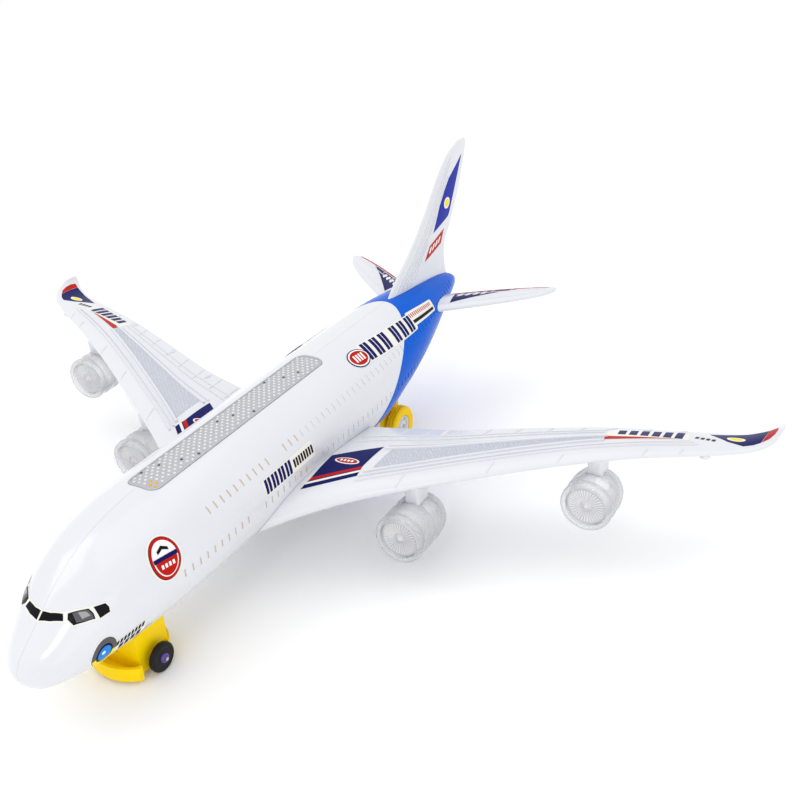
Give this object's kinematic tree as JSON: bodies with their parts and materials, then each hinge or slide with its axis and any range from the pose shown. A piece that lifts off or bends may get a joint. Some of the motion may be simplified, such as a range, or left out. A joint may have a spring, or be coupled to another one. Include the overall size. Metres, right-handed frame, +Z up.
{
  "type": "toy airplane",
  "caption": "Four-engined toy airliner with moulded shells, clear engines and roof grille, and a swivelling bump-and-go drive unit under the nose.",
  "frame": {"origin": "on the ground, under the middle of the overall length and span", "axes": "nose towards -Y, port wing towards +X, up is +Z"},
  "size_m": [0.534, 0.46, 0.1694],
  "materials": {
    "white_shell": "gloss, white",
    "blue_shell": "gloss, bright blue",
    "clear_plastic": "clear moulded plastic",
    "yellow_plastic": "satin, warm yellow",
    "yellow_tyre": "satin, warm yellow",
    "black_tyre": "satin, black",
    "purple_plastic": "satin, dark purple",
    "steel": "plain",
    "brass": "plain",
    "gear_plastic": "off-white",
    "black_plastic": "black",
    "board": "green circuit board",
    "cell_wrap": "dark printed wrap"
  },
  "bodies": {
    "airframe": {"battery_1": "cell_wrap", "battery_2": "cell_wrap", "battery_3": "cell_wrap", "battery_tray": "gear_plastic", "body_screw_1": "steel", "body_screw_2": "steel", "body_screw_3": "steel", "body_screw_4": "steel", "circuit_board": "board", "contact_plate_front": "steel", "contact_plate_rear": "steel", "fan_left_inner": "clear_plastic", "fan_left_outer": "clear_plastic", "fan_right_inner": "clear_plastic", "fan_right_outer": "clear_plastic", "fin": "white_shell", "fuselage_left": "white_shell", "fuselage_right": "white_shell", "lamp_front": "clear_plastic", "lamp_middle": "clear_plastic", "lamp_rear": "clear_plastic", "nacelle_left_inner": "clear_plastic", "nacelle_left_outer": "clear_plastic", "nacelle_right_inner": "clear_plastic", "nacelle_right_outer": "clear_plastic", "power_switch_body": "steel", "rear_bracket": "yellow_plastic", "speaker": "black_plastic", "tail_left": "blue_shell", "tail_right": "blue_shell", "tailplane_left": "white_shell", "tailplane_right": "white_shell", "top_grille": "clear_plastic", "wing_left": "white_shell", "wing_right": "white_shell"},
    "drive_unit": {"turntable": "yellow_plastic", "gearbox_drum": "yellow_plastic", "motor": "steel", "gear_pin_a": "steel", "gear_pin_b": "steel"},
    "drive_axle": {"drive_axle": "steel", "axle_gear": "gear_plastic", "drive_wheel_left": "black_tyre", "drive_wheel_right": "black_tyre", "drive_hub_left": "purple_plastic", "drive_hub_right": "purple_plastic"},
    "gear_b": {"gear_b": "gear_plastic"},
    "gear_a": {"gear_a": "gear_plastic"},
    "motor_pinion": {"motor_pinion": "brass"},
    "rear_axle": {"rear_axle": "steel", "rear_wheel_left": "yellow_tyre", "rear_wheel_right": "yellow_tyre", "rear_hub_left": "white_shell", "rear_hub_right": "white_shell"},
    "power_switch": {"power_switch_knob": "black_plastic"},
    "battery_door": {"battery_door": "white_shell", "door_screw": "steel"}
  },
  "joints": [
    {"name": "turntable_swivel", "type": "hinge", "parent": "airframe", "child": "drive_unit", "pos_m": [0, -0.161, 0], "axis": [0, 0, 1], "continuous": true},
    {"name": "drive_axle_spin", "type": "hinge", "parent": "drive_unit", "child": "drive_axle", "pos_m": [0, -0.161, 0.0083], "axis": [1, 0, 0], "continuous": true},
    {"name": "gear_b_spin", "type": "hinge", "parent": "drive_unit", "child": "gear_b", "pos_m": [0, -0.161, 0.0159], "axis": [1, 0, 0], "continuous": true},
    {"name": "gear_a_spin", "type": "hinge", "parent": "drive_unit", "child": "gear_a", "pos_m": [0, -0.161, 0.024], "axis": [1, 0, 0], "continuous": true},
    {"name": "motor_pinion_spin", "type": "hinge", "parent": "drive_unit", "child": "motor_pinion", "pos_m": [0, -0.161, 0.0321], "axis": [1, 0, 0], "continuous": true},
    {"name": "rear_axle_spin", "type": "hinge", "parent": "airframe", "child": "rear_axle", "pos_m": [0, 0.086, 0.0135], "axis": [1, 0, 0], "continuous": true},
    {"name": "power_switch_slide", "type": "slide", "parent": "airframe", "child": "power_switch", "axis": [0, 1, 0], "range_m": [0, 0.004]},
    {"name": "battery_door_hinge", "type": "hinge", "parent": "airframe", "child": "battery_door", "pos_m": [0, -0.06, 0.027], "axis": [-1, 0, 0], "range_deg": [0, 80]}
  ],
  "couplings": [
    {"joint": "gear_b_spin", "follows": "drive_axle_spin", "ratio": -2},
    {"joint": "gear_a_spin", "follows": "drive_axle_spin", "ratio": 4.4},
    {"joint": "motor_pinion_spin", "follows": "drive_axle_spin", "ratio": -13.2}
  ]
}
